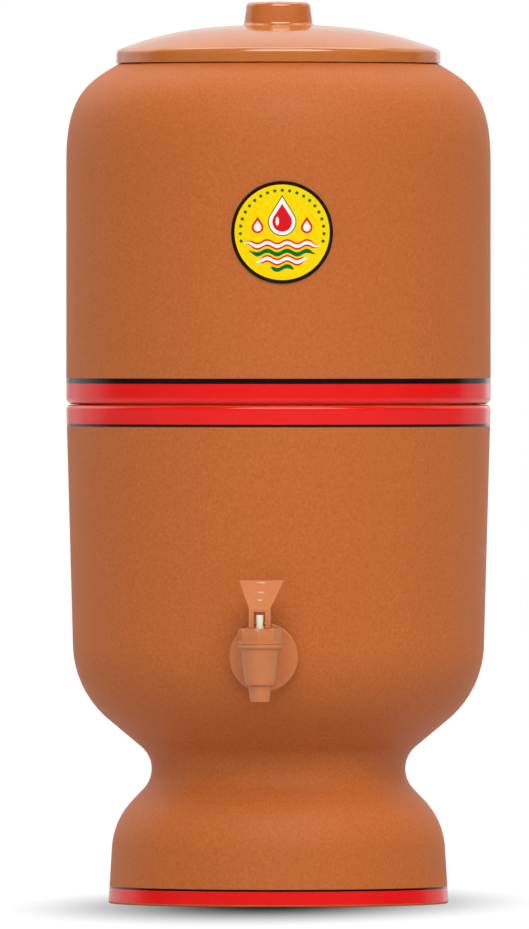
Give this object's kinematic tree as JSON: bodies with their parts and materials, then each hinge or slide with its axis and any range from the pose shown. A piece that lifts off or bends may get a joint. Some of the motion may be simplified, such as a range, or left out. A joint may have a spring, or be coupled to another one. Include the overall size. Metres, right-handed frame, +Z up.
{
  "type": "clay water filter",
  "caption": "Gravity water filter of two stacked clay chambers on a flared foot, with a domed plastic lid, a ceramic candle inside and a push-lever tap at the front.",
  "frame": {"origin": "on the ground under the middle of the bounding box; the chambers' axis is 22.25 mm behind it, because the tap stands out in front", "axes": "+Z up along the chambers' axis, -Y is the front, where the tap is, +X is to the right of someone who faces the tap"},
  "size_m": [0.2546, 0.299, 0.5411],
  "materials": {
    "clay": "fine-grained fired clay, satin, with red and black enamel bands at the seam and on the foot",
    "lid_plastic": "glossy terracotta-coloured plastic",
    "tap_plastic": "satin terracotta-coloured plastic",
    "label": null,
    "white_plastic": "satin cream-white plastic",
    "candle_ceramic": "porous unglazed white ceramic",
    "carbon": "matte pressed carbon",
    "rubber": "soft dark rubber",
    "silicone": "translucent-white silicone",
    "steel": "stainless pin"
  },
  "bodies": {
    "base": {"lower_chamber": "clay", "spigot_body": "tap_plastic", "outer_gasket": "rubber", "inner_washer": "rubber", "shank_nut": "tap_plastic", "bonnet": "tap_plastic"},
    "upper": {"upper_chamber": "clay", "front_label": "label", "candle_base": "white_plastic", "candle_shell": "candle_ceramic", "candle_core": "carbon", "candle_washer_upper": "rubber", "candle_washer_lower": "rubber", "candle_nut": "white_plastic", "float_valve_body": "white_plastic", "float_pin": "steel"},
    "lid": {"lid": "lid_plastic"},
    "stem": {"valve_stem": "white_plastic", "seat_cup": "silicone", "lever_pin": "steel"},
    "lever": {"lever": "tap_plastic"},
    "float_arm": {"float_arm": "white_plastic", "float": "white_plastic", "valve_pad": "rubber"}
  },
  "joints": [
    {"name": "upper_lift", "type": "slide", "parent": "base", "child": "upper", "axis": [0, 0, 1], "range_m": [0, 0.14]},
    {"name": "lid_lift", "type": "slide", "parent": "upper", "child": "lid", "axis": [0, 0, 1], "range_m": [0, 0.1]},
    {"name": "stem_lift", "type": "slide", "parent": "base", "child": "stem", "axis": [0, 0, 1], "range_m": [0, 0.0025]},
    {"name": "lever_tilt", "type": "hinge", "parent": "stem", "child": "lever", "pos_m": [0, -0.1361, 0.1697], "axis": [-1, 0, 0], "range_deg": [0, 25], "stiffness_Nm_per_rad": 0.12, "springref_deg": -11.46},
    {"name": "float_rise", "type": "hinge", "parent": "upper", "child": "float_arm", "pos_m": [-0.008, 0.02225, 0.2676], "axis": [0, -1, 0], "range_deg": [0, 20]}
  ],
  "couplings": [
    {"joint": "stem_lift", "follows": "lever_tilt", "m_per_rad": 0.0055}
  ]
}
